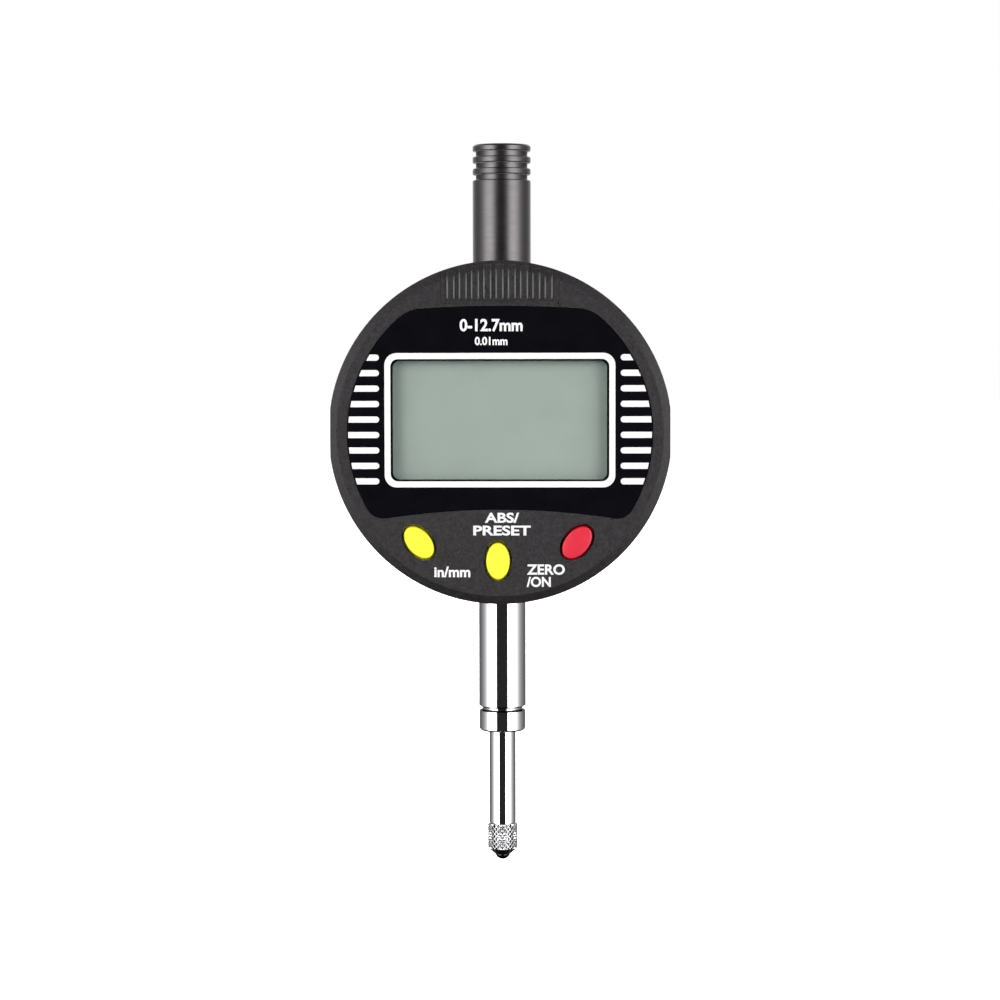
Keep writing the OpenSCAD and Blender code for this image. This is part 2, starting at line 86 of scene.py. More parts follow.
def smooth(ob, angle):
    """Smooth shading with edges sharper than the angle kept sharp."""
    me = ob.data
    for p in me.polygons:
        p.use_smooth = True
    bm = bmesh.new()
    bm.from_mesh(me)
    for e in bm.edges:
        e.smooth = len(e.link_faces) == 2 and e.calc_face_angle(0.0) < math.radians(angle)
    bm.to_mesh(me)
    bm.free()


def plate_parts(outline, y_front, y_back, base=0):
    """Vertices and faces of one flat plate cut to an outline in X and Z."""
    n = len(outline)
    verts = [(x, y_front, z) for x, z in outline] + [(x, y_back, z) for x, z in outline]
    faces = [list(range(base, base + n)), list(range(base + 2 * n - 1, base + n - 1, -1))]
    for i in range(n):
        j = (i + 1) % n
        faces.append([base + i, base + j, base + n + j, base + n + i])
    return verts, faces


def ring_parts(outer, inner, y_front, y_back):
    """A flat ring between two outlines with the same number of points."""
    n = len(outer)
    verts = []
    for y in (y_front, y_back):
        verts += [(x, y, z) for x, z in outer]
        verts += [(x, y, z) for x, z in inner]
    faces = []
    for i in range(n):
        j = (i + 1) % n
        faces.append([i, j, n + j, n + i])
        faces.append([2 * n + i, 3 * n + i, 3 * n + j, 2 * n + j])
        faces.append([i, 2 * n + i, 2 * n + j, j])
        faces.append([n + i, n + j, 3 * n + j, 3 * n + i])
    return verts, faces


def rounded_outline(w, h, r, cz, steps=10):
    """A rectangle in X and Z with round corners, centred on X and at a height."""
    pts = []
    for sx, sz, start in ((1, 1, 0), (-1, 1, 90), (-1, -1, 180), (1, -1, 270)):
        for k in range(steps + 1):
            a = math.radians(start + 90 * k / steps)
            pts.append((sx * (w / 2 - r) + r * math.cos(a), cz + sz * (h / 2 - r) + r * math.sin(a)))
    return pts


def loft(name, rings, angle=35):
    """A closed skin over rings of equal length. A ring of one point closes an end."""
    verts, faces, starts = [], [], []
    for ring in rings:
        starts.append(len(verts))
        verts += ring
    for a in range(len(rings) - 1):
        ra, rb = rings[a], rings[a + 1]
        sa, sb = starts[a], starts[a + 1]
        n = max(len(ra), len(rb))
        for i in range(n):
            j = (i + 1) % n
            if len(ra) == 1:
                faces.append([sa, sb + j, sb + i])
            elif len(rb) == 1:
                faces.append([sa + i, sa + j, sb])
            else:
                faces.append([sa + i, sa + j, sb + j, sb + i])
    return mesh_object(name, verts, faces, angle)


# ---------------------------------------------------------------- node helpers
def math_node(nt, kind, a, b=None):
    """The result of a maths node whose inputs are numbers or other nodes' results."""
    n = nt.nodes.new("ShaderNodeMath")
    n.operation = kind
    for i, v in enumerate((a, b)):
        if v is None:
            continue
        if isinstance(v, (int, float)):
            n.inputs[i].default_value = v
        else:
            nt.links.new(v, n.inputs[i])
    return n.outputs[0]


def grey_ramp(nt, value, stops):
    """A grey level that follows a value through a list of (position, level) stops."""
    ramp = nt.nodes.new("ShaderNodeValToRGB")
    elements = ramp.color_ramp.elements
    while len(elements) < len(stops):
        elements.new(0.5)
    for element, (position, level) in zip(elements, stops):
        element.position = position
        element.color = (level, level, level, 1)
    nt.links.new(value, ramp.inputs["Fac"])
    return ramp.outputs["Color"]


def shade(base, share):
    """A colour scaled by a share, with its alpha."""
    return (base[0] * share, base[1] * share, base[2] * share, 1.0)


# ---------------------------------------------------------------- materials
# How much painted shade darkens the groove, standing in for the dark reflections along its rims, from its
# middle (0) to its rim (1).
GROOVE_SHADE_BAND = [(0.0, 0.0), (0.3, 0.0), (0.45, 1.0), (0.93, 1.0), (1.0, 0.0)]
GROOVE_SHADE_DARK = 0.1
GROOVE_HALF = 0.45 * MM
SPOT_SIZE = 0.32
SPOT_SHADE = 2.4
COAT_ROUGH = 0.08
SHEEN_ROUGH = 0.35
TURNED = (0.25, 0.25, 9.0)


def material(name, base, rough, metallic=0.0, spread=0.1, grain=1500.0, rough_spread=0.08,
             bump=0.15, bump_grain=4000.0, bump_depth=0.01, stretch=(1, 1, 1), coat=0.0,
             specular=0.5, alpha=1.0, spots=0.0, sheen=0.0, groove_z=None):
    """Principled surface with uneven colour, uneven gloss and fine relief, in object space, with painted
    shade in a band round a groove when groove_z is given.
    """
    m = bpy.data.materials.new(name)
    m.use_nodes = True
    nt = m.node_tree
    bsdf = nt.nodes["Principled BSDF"]
    bsdf.inputs["Metallic"].default_value = metallic
    bsdf.inputs["Specular IOR Level"].default_value = specular
    bsdf.inputs["Coat Weight"].default_value = coat
    bsdf.inputs["Coat Roughness"].default_value = COAT_ROUGH
    bsdf.inputs["Sheen Weight"].default_value = sheen
    bsdf.inputs["Sheen Roughness"].default_value = SHEEN_ROUGH
    bsdf.inputs["Alpha"].default_value = alpha
    coord = nt.nodes.new("ShaderNodeTexCoord")
    mapping = nt.nodes.new("ShaderNodeMapping")
    mapping.inputs["Scale"].default_value = stretch
    nt.links.new(coord.outputs["Object"], mapping.inputs["Vector"])

    def noise(scale, detail, rough_noise=0.55):
        n = nt.nodes.new("ShaderNodeTexNoise")
        n.inputs["Scale"].default_value = scale
        n.inputs["Detail"].default_value = detail
        n.inputs["Roughness"].default_value = rough_noise
        nt.links.new(mapping.outputs["Vector"], n.inputs["Vector"])
        return n

    tone = noise(grain, 4.0)
    ramp = nt.nodes.new("ShaderNodeValToRGB")
    ramp.color_ramp.elements[0].position = 0.32
    ramp.color_ramp.elements[1].position = 0.68
    ramp.color_ramp.elements[0].color = shade(base, 1 - spread)
    ramp.color_ramp.elements[1].color = shade(base, 1 + spread)
    nt.links.new(tone.outputs["Fac"], ramp.inputs["Fac"])
    colour = ramp.outputs["Color"]
    if spots:
        cells = nt.nodes.new("ShaderNodeTexVoronoi")
        cells.inputs["Scale"].default_value = bump_grain * 0.8
        nt.links.new(mapping.outputs["Vector"], cells.inputs["Vector"])
        dots = nt.nodes.new("ShaderNodeMapRange")
        dots.inputs["From Min"].default_value = 0.0
        dots.inputs["From Max"].default_value = SPOT_SIZE
        dots.inputs["To Min"].default_value = spots
        dots.inputs["To Max"].default_value = 0.0
        nt.links.new(cells.outputs["Distance"], dots.inputs["Value"])
        mix = nt.nodes.new("ShaderNodeMix")
        mix.data_type = "RGBA"
        mix.inputs["B"].default_value = shade(base, SPOT_SHADE)
        nt.links.new(dots.outputs["Result"], mix.inputs["Factor"])
        nt.links.new(colour, mix.inputs["A"])
        colour = mix.outputs["Result"]
    # Painted shade: the base colour is darkened in a band round the groove, standing in for the dark
    # reflections at its rims.
    if groove_z is not None:
        where = nt.nodes.new("ShaderNodeSeparateXYZ")
        nt.links.new(coord.outputs["Object"], where.inputs["Vector"])
        off = math_node(nt, "ABSOLUTE", math_node(nt, "SUBTRACT", where.outputs["Z"], groove_z))
        groove_shade_mix = nt.nodes.new("ShaderNodeMix")
        groove_shade_mix.data_type = "RGBA"
        groove_shade_mix.inputs["B"].default_value = shade(base, GROOVE_SHADE_DARK)
        nt.links.new(grey_ramp(nt, math_node(nt, "DIVIDE", off, GROOVE_HALF), GROOVE_SHADE_BAND),
                     groove_shade_mix.inputs["Factor"])
        nt.links.new(colour, groove_shade_mix.inputs["A"])
        colour = groove_shade_mix.outputs["Result"]
    nt.links.new(colour, bsdf.inputs["Base Color"])
    gloss = noise(grain * 0.45, 3.0)
    spread_node = nt.nodes.new("ShaderNodeMapRange")
    spread_node.inputs["From Min"].default_value = 0.3
    spread_node.inputs["From Max"].default_value = 0.7
    spread_node.inputs["To Min"].default_value = max(0.02, rough - rough_spread)
    spread_node.inputs["To Max"].default_value = min(1.0, rough + rough_spread)
    nt.links.new(gloss.outputs["Fac"], spread_node.inputs["Value"])
    nt.links.new(spread_node.outputs["Result"], bsdf.inputs["Roughness"])
    if bump:
        relief = noise(bump_grain, 3.0, 0.6)
        bump_node = nt.nodes.new("ShaderNodeBump")
        bump_node.inputs["Strength"].default_value = bump
        bump_node.inputs["Distance"].default_value = bump_depth * MM
        nt.links.new(relief.outputs["Fac"], bump_node.inputs["Height"])
        nt.links.new(bump_node.outputs["Normal"], bsdf.inputs["Normal"])
    return m


CHROME = dict(base=(0.84, 0.84, 0.86), rough=0.07, metallic=1.0, spread=0.03, grain=1500, rough_spread=0.03,
              bump=0.03, bump_grain=2500, bump_depth=0.002, stretch=TURNED)
SURFACES = {
    "cover_plastic": dict(base=(0.03, 0.0272, 0.0295), rough=0.44, spread=0.42, grain=2600, bump=0.55,
                          bump_grain=4200, bump_depth=0.02, spots=0.16, specular=0.5, sheen=0.12),
    "rib_plastic": dict(base=(0.036, 0.034, 0.036), rough=0.34, spread=0.3, grain=2600, bump=0.5,
                        bump_grain=4200, bump_depth=0.02, specular=0.62),
    "panel_black": dict(base=(0.0055, 0.0052, 0.008), rough=0.07, spread=0.2, grain=300, rough_spread=0.03,
                        bump=0.05, bump_grain=260, bump_depth=0.004, specular=0.4, coat=0.5),
    "window_clear": dict(base=(0.93, 0.97, 0.95), rough=0.04, spread=0.02, grain=200, rough_spread=0.02,
                         bump=0.0, alpha=0.1, specular=0.35),
    "lcd": dict(base=(0.312, 0.39, 0.34), rough=0.33, spread=0.035, grain=140, rough_spread=0.05, bump=0.04,
                bump_grain=7000, bump_depth=0.004, specular=0.35),
    "holder_plastic": dict(base=(0.62, 0.61, 0.56), rough=0.5, spread=0.06, grain=900),
    "zebra_rubber": dict(base=(0.62, 0.25, 0.3), rough=0.7, spread=0.35, grain=1500, stretch=(6, 1, 0.3)),
    "board_green": dict(base=(0.015, 0.11, 0.04), rough=0.35, spread=0.5, grain=700, bump=0.3,
                        bump_grain=1200, bump_depth=0.03, stretch=(1, 1, 0.35), coat=0.3),
    "chip_resin": dict(base=(0.012, 0.012, 0.013), rough=0.25, spread=0.3, grain=900, coat=0.4),
    "switch_black": dict(base=(0.02, 0.02, 0.021), rough=0.45, spread=0.2, grain=1500),
    "screw_steel": dict(base=(0.56, 0.56, 0.58), rough=0.27, metallic=1.0, spread=0.1, grain=900, bump=0.2,
                        bump_grain=1500),
    "button_yellow": dict(base=(0.98, 0.94, 0.06), rough=0.38, spread=0.03, grain=500, bump=0.06,
                          bump_grain=3500, bump_depth=0.006, specular=0.35),
    "button_red": dict(base=(0.78, 0.03, 0.06), rough=0.36, spread=0.06, grain=500, bump=0.06,
                       bump_grain=3500, bump_depth=0.006, specular=0.4),
    "cell_steel": dict(base=(0.66, 0.66, 0.67), rough=0.22, metallic=1.0, spread=0.06, grain=600, bump=0.1,
                       bump_grain=2500),
    "contact_brass": dict(base=(0.78, 0.6, 0.28), rough=0.3, metallic=1.0, spread=0.12, grain=700),
    "housing_paint": dict(base=(0.033, 0.032, 0.034), rough=0.42, spread=0.2, grain=1800, bump=0.5,
                          bump_grain=2600, bump_depth=0.02, spots=0.1, specular=0.45),
    "bush_brass": dict(base=(0.74, 0.56, 0.28), rough=0.26, metallic=1.0, spread=0.08, grain=900,
                       stretch=TURNED),
    "cap_black": dict(base=(0.095, 0.09, 0.091), rough=0.34, sheen=0.8, metallic=1.0, spread=0.1, grain=1100,
                      rough_spread=0.05, bump=0.1, bump_grain=2500, bump_depth=0.004, stretch=TURNED),
    "polished_steel": CHROME,
    "groove_shaded_steel": dict(CHROME, groove_z=GROOVE_Z),
    "bumper_rubber": dict(base=(0.02, 0.02, 0.02), rough=0.8, spread=0.3, grain=1500),
    "spring_steel": dict(base=(0.55, 0.55, 0.57), rough=0.25, metallic=1.0, spread=0.1, grain=1500),
    "carrier_alloy": dict(base=(0.55, 0.55, 0.57), rough=0.33, metallic=1.0, spread=0.1, grain=700,
                          stretch=(0.3, 6, 1)),
    "screw_black": dict(base=(0.05, 0.05, 0.055), rough=0.35, metallic=1.0, spread=0.2, grain=1500),
    "contact_steel": dict(base=(0.6, 0.6, 0.61), rough=0.13, metallic=1.0, spread=0.25, grain=2200,
                          bump=0.2, bump_grain=5000, bump_depth=0.006),
    "ball_black": dict(base=(0.09, 0.09, 0.095), rough=0.18, metallic=1.0, spread=0.2, grain=1500),
    "print_white": dict(base=(0.97, 0.97, 0.97), rough=0.5, spread=0.03, grain=1500, bump=0.08,
                        bump_grain=6000, bump_depth=0.004),
    "floor_pale": dict(base=(0.9, 0.9, 0.9), rough=0.85, spread=0.01, grain=30, bump=0.0),
}
made = {name: material(name, **spec) for name, spec in SURFACES.items()}


def dress(ob, name):
    """Gives an object one material."""
    ob.data.materials.clear()
    ob.data.materials.append(made[name])


for part in frame["record"]["subparts"]:
    dress(frame["nodes"][part["node"]], part["material_slot"])
# The stem and end bush get the steel with painted shade in its groove.
for grooved in ("stem", "end_bush"):
    dress(frame["nodes"][grooved], "groove_shaded_steel")


def place(ob, body, slot_name, look=None):
    """Gives a piece its finish (the look, or the slot's material when no look is given) and the body it
    moves with.
    """
    dress(ob, look or slot_name)
    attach(ob, body)
    return ob


# ---------------------------------------------------------------- printing on the display panel
INK = 0.012 * MM
OPEN_W, OPEN_H = 36.15 * MM, 20.2 * MM
LINE_W = 1.0 * MM
OUTER_CORNER, INNER_CORNER = 2.0 * MM, 1.25 * MM
frame_outer = rounded_outline(OPEN_W + 2 * LINE_W, OPEN_H + 2 * LINE_W, OUTER_CORNER, VIEW_Z)
frame_inner = rounded_outline(OPEN_W, OPEN_H, INNER_CORNER, VIEW_Z)
verts, faces = ring_parts(frame_outer, frame_inner, FACE_Y - INK, FACE_Y + INK)
place(mesh_object("frame_line", verts, faces), "case", "panel_black", "print_white")

BAR_COUNT = 9
BAR_PITCH = 2.557 * MM
BAR_H = 1.02 * MM
BAR_INNER = 19.95 * MM
BAR_CLIP_R = 25.1 * MM
BARS_Z = VIEW_Z + 0.13 * MM
END_STEPS, CLIP_STEPS = 8, 6


def bar_outline(side, z):
    """A bar with a round inner end and an outer end that follows the panel's edge."""
    half = BAR_H / 2
    pts = []
    for k in range(END_STEPS + 1):
        a = math.radians(90 + 180 * k / END_STEPS)
        pts.append((BAR_INNER + half + half * math.cos(a), z + half * math.sin(a)))
    for k in range(CLIP_STEPS + 1):
        zz = -half + BAR_H * k / CLIP_STEPS
        pts.append((math.sqrt(BAR_CLIP_R ** 2 - (z - CASE_Z + zz) ** 2), z + zz))
    return [(side * x, zz) for x, zz in pts]


verts, faces = [], []
for side in (-1, 1):
    for k in range(BAR_COUNT):
        z = BARS_Z + (k - (BAR_COUNT - 1) / 2) * BAR_PITCH
        v, f = plate_parts(bar_outline(side, z), FACE_Y - INK, FACE_Y + INK, len(verts))
        verts += v
        faces += f
place(mesh_object("scale_bars", verts, faces), "case", "panel_black", "print_white")


# ---------------------------------------------------------------- function labels
STROKE_WEIGHT = 0.03


def label(name, words, x0, x1, z0, z1, slot_name):
    """Thin raised lettering fitted to a box on the front face, in mm from the case centre."""
    curve = bpy.data.curves.new(name, "FONT")
    curve.body = words
    curve.size = 1.0
    curve.offset = STROKE_WEIGHT
    curve.extrude = 0.05
    curve.resolution_u = 6
    source = bpy.data.objects.new(name + "_source", curve)
    bpy.context.scene.collection.objects.link(source)
    bpy.context.view_layer.update()
    me = bpy.data.meshes.new_from_object(source.evaluated_get(bpy.context.evaluated_depsgraph_get()))
    bpy.data.objects.remove(source)
    xs = [v.co.x for v in me.vertices]
    ys = [v.co.y for v in me.vertices]
    zs = [v.co.z for v in me.vertices]
    for v in me.vertices:
        u = (v.co.x - min(xs)) / (max(xs) - min(xs))
        w = (v.co.y - min(ys)) / (max(ys) - min(ys))
        d = (v.co.z - min(zs)) / (max(zs) - min(zs))
        x, z = x0 + (x1 - x0) * u, z0 + (z1 - z0) * w
        v.co = (x * MM, FACE_Y + INK - 2 * INK * d, CASE_Z + z * MM)
    bm = bmesh.new()
    bm.from_mesh(me)
    bmesh.ops.remove_doubles(bm, verts=bm.verts, dist=1e-7)
    bmesh.ops.recalc_face_normals(bm, faces=bm.faces)
    bm.to_mesh(me)
    bm.free()
    me.name = name
    ob = bpy.data.objects.new(name, me)
    bpy.context.scene.collection.objects.link(ob)
    return place(ob, "case", slot_name, "print_white")


label("label_abs", "ABS/", -2.51, 3.19, -14.85, -13.16, "cover_plastic")
label("label_preset", "PRESET", -4.42, 5.08, -16.96, -15.29, "cover_plastic")
label("label_unit", "in/mm", -10.9, -4.93, -23.9, -22.1, "cover_plastic")
label("label_zero", "ZERO", 4.45, 10.74, -23.47, -21.72, "cover_plastic")
label("label_on", "/ON", 4.4, 8.4, -25.5, -23.8, "cover_plastic")
label("label_range", "0-12.7mm", -6.6, 3.8, 16.75, 18.85, "panel_black")
label("label_step", "0.01mm", -4.1, 1.3, 14.5, 15.9, "panel_black")


# ---------------------------------------------------------------- buttons
BUTTON_SIDES = 72
BUTTON_A, BUTTON_B = 3.05 * MM, 1.95 * MM
BUTTON_EDGE, BUTTON_CROWN = 0.3 * MM, 0.16 * MM
BUTTON_STEPS = 6
COVER_T = 1.85 * MM
FLANGE_W, FLANGE_T = 0.9 * MM, 0.6 * MM
POST_R = 1.2 * MM
BUTTON_BODY = {"button_unit": "unit_button", "button_abs": "abs_button", "button_zero": "zero_button"}


def oval_ring(cx, cz, a, b, lean, y):
    """One ring of an upright oval that leans by an angle, seen from the front."""
    ring = []
    c, s = math.cos(lean), math.sin(lean)
    for k in range(BUTTON_SIDES):
        t = 2 * math.pi * k / BUTTON_SIDES
        px, pz = b * math.cos(t), a * math.sin(t)
        ring.append((cx + px * c - pz * s, y, cz + px * s + pz * c))
    return ring


def button(node, lean, slot_name):
    """An oval button with a low crown and a round edge, a flange under the cover and a post."""
    lo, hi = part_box(node)
    cx, cz = (lo.x + hi.x) / 2, (lo.z + hi.z) / 2
    top = lo.y
    under_cover = COVER_Y + COVER_T

    def oval(grow, y, share=1.0):
        return oval_ring(cx, cz, BUTTON_A * share + grow, BUTTON_B * share + grow, lean, y)

    rings = [[(cx, top, cz)]]
    for k in range(1, BUTTON_STEPS + 1):
        f = k / BUTTON_STEPS
        rings.append(oval(0.0, top + BUTTON_CROWN * f ** 2, f * (1 - BUTTON_EDGE / BUTTON_B)))
    for k in range(1, BUTTON_STEPS + 1):
        t = math.radians(90 * k / BUTTON_STEPS)
        y = top + BUTTON_CROWN + BUTTON_EDGE * (1 - math.cos(t))
        rings.append(oval(BUTTON_EDGE * (math.sin(t) - 1), y))
    rings.append(oval(0.0, under_cover))
    rings.append(oval(FLANGE_W, under_cover))
    rings.append(oval(FLANGE_W, under_cover + FLANGE_T))
    rings.append(oval_ring(cx, cz, POST_R, POST_R, lean, under_cover + FLANGE_T))
    rings.append(oval_ring(cx, cz, POST_R, POST_R, lean, hi.y))
    rings.append([(cx, hi.y, cz)])
    ob = loft(node + "_cap", rings)
    place(ob, BUTTON_BODY[node], slot_name)
    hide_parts(node)


LEAN = math.radians(40)
button("button_unit", LEAN, "button_yellow")
button("button_abs", 0.0, "button_yellow")
button("button_zero", -LEAN, "button_red")


# ---------------------------------------------------------------- knurled contact point
def wave(t):
    """A triangle wave from 0 to 1 and back, once for each whole t."""
    t = t % 1.0
    return 2 * t if t < 0.5 else 2 - 2 * t


KNURL_SIDES, KNURL_DIAMONDS, KNURL_RISE, KNURL_ROWS = 240, 20, 0.86 * MM, 46
KNURL_SHARE = 1.15
KNURL_CUT, EDGE_CUT, CONE_CUT = 0.24 * MM, 0.2 * MM, 0.18 * MM
STUD_R, STUD_EDGE, STUD_L = 1.2 * MM, 0.2 * MM, 5.0 * MM
KNURL_L = 4.3 * MM
CONE_ROWS, CONE_STEP, CONE_END_R = 8, 0.06 * MM, 1.24 * MM
SOCKET_STEPS, SOCKET_GAP = 8, 0.01 * MM


def knurled_ring(radius, z, cut=0.0):
    """One ring round the axis, cut in along two crossing sets of slanted lines."""
    out = []
    for k in range(KNURL_SIDES):
        a = 2 * math.pi * k / KNURL_SIDES
        depth = 0.0
        if cut:
            turn = KNURL_DIAMONDS * k / KNURL_SIDES
            high = min(wave(turn + z / KNURL_RISE), wave(turn - z / KNURL_RISE))
            depth = cut * (1 - min(1.0, high * KNURL_SHARE))
        out.append(((radius - depth) * math.cos(a), (radius - depth) * math.sin(a), z))
    return out


def knurled_contact():
    """The contact point: a plain stud, a knurled barrel, a knurled cone and a socket for the ball."""
    r = (contact_hi.x - contact_lo.x) / 2
    stud_top = contact_hi.z
    shoulder = stud_top - STUD_L
    low = shoulder - KNURL_L
    cone = contact_lo.z
    ball_z = (knob_lo.z + knob_hi.z) / 2
    ball_r = (knob_hi.z - knob_lo.z) / 2 + SOCKET_GAP
    rings = [[(0, 0, stud_top)], knurled_ring(STUD_R - STUD_EDGE, stud_top)]
    rings += [knurled_ring(STUD_R, stud_top - STUD_EDGE), knurled_ring(STUD_R, shoulder)]
    rings.append(knurled_ring(r - STUD_EDGE, shoulder))
    start, end = shoulder - 0.12 * MM, low + 0.1 * MM
    for k in range(KNURL_ROWS + 1):
        rings.append(knurled_ring(r, start + (end - start) * k / KNURL_ROWS, KNURL_CUT))
    rings.append(knurled_ring(r, low + 0.05 * MM, EDGE_CUT))
    for k in range(CONE_ROWS + 1):
        f = k / CONE_ROWS
        cone_r = (r - CONE_STEP) * (1 - f) + CONE_END_R * f
        rings.append(knurled_ring(cone_r, low + (cone - low) * f, max((1 - f) * CONE_CUT, 1e-9)))
    rings.append(knurled_ring(math.sqrt(ball_r ** 2 - (cone - ball_z) ** 2), cone))
    for k in range(1, SOCKET_STEPS):
        z = cone + (ball_z + ball_r - cone) * (1 - math.cos(math.pi / 2 * k / SOCKET_STEPS))
        rings.append(knurled_ring(math.sqrt(max(0.0, ball_r ** 2 - (z - ball_z) ** 2)), z))
    rings.append([(0, 0, ball_z + ball_r)])
    ob = loft("knurled_contact", rings, 30)
    place(ob, "spindle", "contact_steel")
    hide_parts("contact_point")


knurled_contact()


# ---------------------------------------------------------------- return spring
COIL_TURNS, COIL_STEPS, WIRE_SIDES = 9, 40, 10
WIRE_R = 0.22 * MM


def coil_spring():
    """Round wire wound between the carrier and the block, built at one length from the return spring's box;
    the mesh is not pressed shorter as the spindle rises.
    """
    lo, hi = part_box("return_spring")
    coil_r = (hi.x - lo.x) / 2 - WIRE_R
    bottom, top = lo.z + WIRE_R, hi.z - WIRE_R
    pitch = (top - bottom) / COIL_TURNS
    slope = math.atan(pitch / (2 * math.pi * coil_r))

    def wire_point(turn, out, along, up):
        a = 2 * math.pi * turn
        return ((coil_r + out) * math.cos(a) - along * math.sin(a),
                (coil_r + out) * math.sin(a) + along * math.cos(a), bottom + pitch * turn + up)

    rings = [[wire_point(0, 0, 0, 0)]]
    for k in range(COIL_TURNS * COIL_STEPS + 1):
        ring = []
        for m in range(WIRE_SIDES):
            t = 2 * math.pi * m / WIRE_SIDES
            out, up = WIRE_R * math.cos(t), WIRE_R * math.sin(t)
            ring.append(wire_point(k / COIL_STEPS, out, -up * math.sin(slope), up * math.cos(slope)))
        rings.append(ring)
    rings.append([wire_point(COIL_TURNS, 0, 0, 0)])
    ob = loft("coil_spring", rings, 60)
    place(ob, "case", "spring_steel")
    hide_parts("return_spring")
    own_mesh(ob)


coil_spring()


# ---------------------------------------------------------------- rounded grip ribs of the drawer
RIB_COUNT = 9
RIB_PITCH = 2.02 * MM
RIB_HALF = 0.77 * MM
RIB_PROUD = 0.36 * MM
RIB_SHOULDER = 0.42 * MM
RIB_ROOT = 0.1 * MM
SHOULDER_STEPS = 6
RIB_LOW_Z = 21.9 * MM
RIB_END_R = 27.9 * MM
CHAMFER_R = 27.05 * MM


def rib_section(x, z, share):
    """A rounded rib section: flat foot, round shoulders and a flat crown, laid back over the chamfer."""
    high = RIB_PROUD * share
    half = RIB_HALF * (0.7 + 0.3 * share)
    skin_y = FACE_Y + max(0.0, math.hypot(x, z - CASE_Z) - CHAMFER_R)
    left, right = [(x - half, skin_y + RIB_ROOT, z)], [(x + half, skin_y + RIB_ROOT, z)]
    for k in range(SHOULDER_STEPS + 1):
        t = math.radians(90 * k / SHOULDER_STEPS)
        inset, y = RIB_SHOULDER * (1 - math.cos(t)), skin_y - high * math.sin(t)
        left.append((x - half + inset, y, z))
        right.append((x + half - inset, y, z))
    return left + right[::-1]


def grip_ribs():
    """The drawer's ribs, each swept up the face and back over the chamfer."""
    verts, faces = [], []
    for i in range(RIB_COUNT):
        x = (i - (RIB_COUNT - 1) / 2) * RIB_PITCH
        low = CASE_Z + RIB_LOW_Z
        bend = CASE_Z + math.sqrt(CHAMFER_R ** 2 - x * x)
        high = CASE_Z + math.sqrt(RIB_END_R ** 2 - x * x)
        rows = [(low, 0.05), (low + 0.12 * MM, 0.7), (low + 0.35 * MM, 1.0), (bend - 0.05 * MM, 1.0),
                (bend + 0.1 * MM, 0.95), (high - 0.3 * MM, 0.9), (high - 0.1 * MM, 0.6), (high, 0.05)]
        sections = [rib_section(x, z, share) for z, share in rows]
        n, base = len(sections[0]), len(verts)
        for section in sections:
            verts += section
        for k in range(len(rows) - 1):
            lower, upper = base + k * n, base + (k + 1) * n
            for m in range(n):
                j = (m + 1) % n
                faces.append([lower + m, lower + j, upper + j, upper + m])
        faces.append(list(range(base, base + n)))
        faces.append(list(range(base + len(rows) * n - 1, base + (len(rows) - 1) * n - 1, -1)))
    place(mesh_object("grip_ribs", verts, faces, 50), "battery_drawer", "cover_plastic", "rib_plastic")


grip_ribs()

# ---------------------------------------------------------------- stage, light and camera
FLOOR_Z = -0.075
FLOOR_HALF = 6.0
FLOOR_GLOW = 0.9
corners = [(x, y, FLOOR_Z) for x, y in ((-1, -1), (1, -1), (1, 1), (-1, 1))]
floor = mesh_object("floor", [(x * FLOOR_HALF, y * FLOOR_HALF, z) for x, y, z in corners], [(0, 1, 2, 3)])
dress(floor, "floor_pale")
floor_bsdf = made["floor_pale"].node_tree.nodes["Principled BSDF"]
floor_bsdf.inputs["Emission Color"].default_value = (1, 1, 1, 1)
floor_bsdf.inputs["Emission Strength"].default_value = FLOOR_GLOW
floor.visible_glossy = False
floor.visible_diffuse = False

# Light round the object: from straight in front (0) to straight behind (1), the same on both sides.
ROUND_STOPS = [(0.0, 0.004), (0.148, 0.004), (0.162, 0.75), (0.25, 1.0), (0.36, 0.75), (0.43, 0.25),
               (0.48, 0.145), (0.555, 0.08), (0.62, 0.052), (0.7, 0.034), (0.77, 0.02), (0.86, 0.04),
               (1.0, 0.16)]
# Light from straight below (0) to straight above (1).
HEIGHT_STOPS = [(0.0, 0.01), (0.1, 0.03), (0.2, 0.35), (0.36, 0.9), (0.4, 1.0), (0.7, 1.0), (0.79, 0.1),
                (1.0, 0.01)]
WORLD_STRENGTH = 6.6


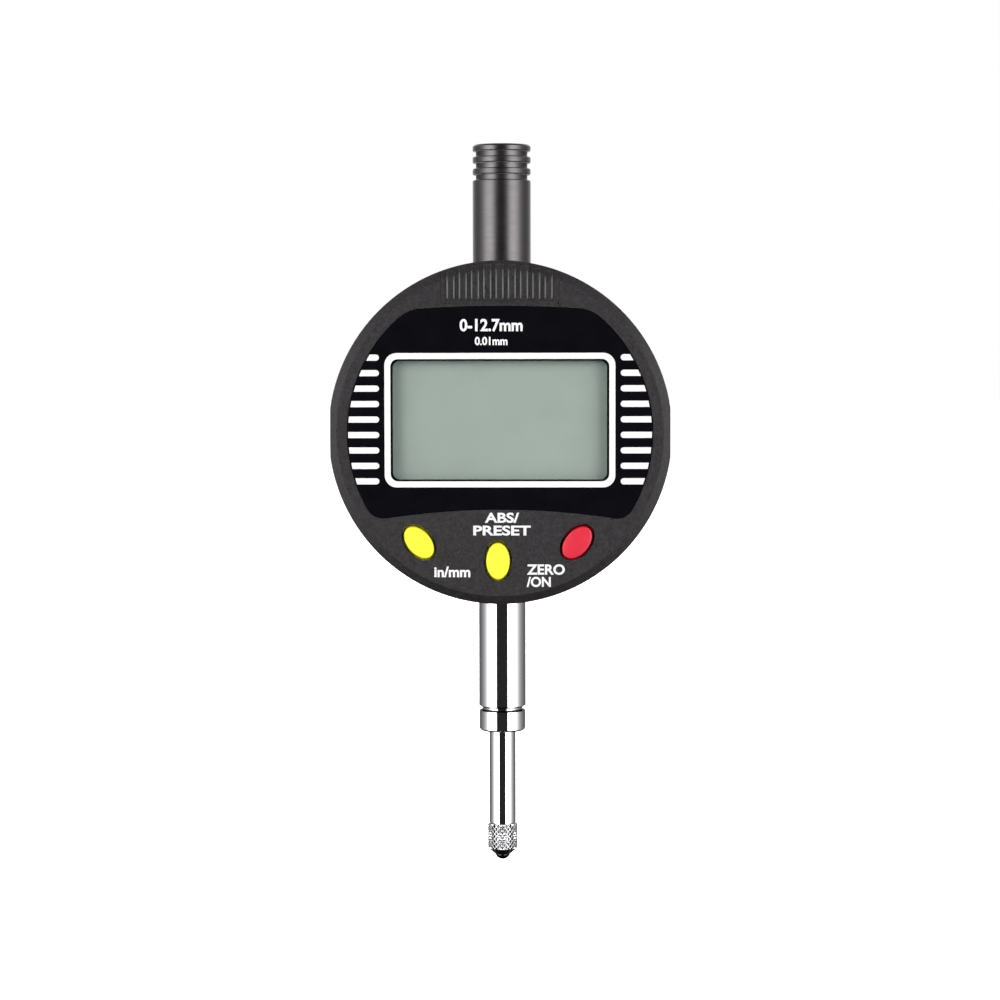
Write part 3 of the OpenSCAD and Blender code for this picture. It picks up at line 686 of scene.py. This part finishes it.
def studio_world():
    """Two tall soft panels in front, dim light behind, and a white backdrop for the camera alone."""
    world = bpy.data.worlds.new("studio")
    bpy.context.scene.world = world
    world.use_nodes = True
    nt = world.node_tree
    nt.nodes.clear()
    out = nt.nodes.new("ShaderNodeOutputWorld")
    coord = nt.nodes.new("ShaderNodeTexCoord")
    split = nt.nodes.new("ShaderNodeSeparateXYZ")
    nt.links.new(coord.outputs["Generated"], split.inputs["Vector"])
    side = math_node(nt, "ABSOLUTE", split.outputs["X"])
    front = math_node(nt, "MULTIPLY", split.outputs["Y"], -1.0)
    turn = math_node(nt, "DIVIDE", math_node(nt, "ARCTAN2", side, front), math.pi)
    up = math_node(nt, "ADD", math_node(nt, "MULTIPLY", split.outputs["Z"], 0.5), 0.5)
    level = math_node(nt, "MULTIPLY", grey_ramp(nt, turn, ROUND_STOPS), grey_ramp(nt, up, HEIGHT_STOPS))
    soft = nt.nodes.new("ShaderNodeBackground")
    nt.links.new(math_node(nt, "MULTIPLY", level, WORLD_STRENGTH), soft.inputs["Strength"])
    white = nt.nodes.new("ShaderNodeBackground")
    white.inputs["Color"].default_value = (1, 1, 1, 1)
    white.inputs["Strength"].default_value = 1.0
    path = nt.nodes.new("ShaderNodeLightPath")
    mix = nt.nodes.new("ShaderNodeMixShader")
    nt.links.new(path.outputs["Is Camera Ray"], mix.inputs["Fac"])
    nt.links.new(soft.outputs[0], mix.inputs[1])
    nt.links.new(white.outputs[0], mix.inputs[2])
    nt.links.new(mix.outputs[0], out.inputs["Surface"])


studio_world()

SOFTBOX_SIZE, SOFTBOX_POWER = 0.7, 22.0
SOFTBOX_X, SOFTBOX_Y, SOFTBOX_Z = 0.75, 0.8, 0.95


def softbox(name, x):
    """A square area light behind and above, aimed at the middle of the case."""
    data = bpy.data.lights.new(name, "AREA")
    data.energy = SOFTBOX_POWER
    data.size = SOFTBOX_SIZE
    ob = bpy.data.objects.new(name, data)
    ob.location = (x, SOFTBOX_Y, SOFTBOX_Z)
    ob.rotation_mode = "QUATERNION"
    ob.rotation_quaternion = (Vector((0, 0, CASE_Z)) - ob.location).to_track_quat("-Z", "Y")
    bpy.context.scene.collection.objects.link(ob)
    ob.visible_glossy = False


softbox("back_left", -SOFTBOX_X)
softbox("back_right", SOFTBOX_X)

CAMERA_DISTANCE = 0.463
CAMERA_ELEVATION = math.radians(3.2)
CAMERA_AZIMUTH = math.radians(1.7)
VIEW_WIDTH = 0.1702
CAMERA_ROLL = math.radians(-0.1)
SENSOR = 36.0
AIM_X, AIM_DROP = -0.37 * MM, 11.79 * MM
aim = Vector((AIM_X, 0, CASE_Z - AIM_DROP))
back = Vector((math.sin(CAMERA_AZIMUTH) * math.cos(CAMERA_ELEVATION),
               -math.cos(CAMERA_AZIMUTH) * math.cos(CAMERA_ELEVATION), math.sin(CAMERA_ELEVATION)))
cam_data = bpy.data.cameras.new("camera")
cam_data.sensor_width = SENSOR
cam_data.lens = SENSOR * CAMERA_DISTANCE / VIEW_WIDTH
cam_data.clip_start = 0.01
cam = bpy.data.objects.new("camera", cam_data)
cam.location = aim + back * CAMERA_DISTANCE
cam.rotation_mode = "QUATERNION"
cam.rotation_quaternion = Quaternion(back, CAMERA_ROLL) @ (-back).to_track_quat("-Z", "Y")
bpy.context.scene.collection.objects.link(cam)
bpy.context.scene.camera = cam
bpy.context.scene.view_settings.view_transform = "Standard"
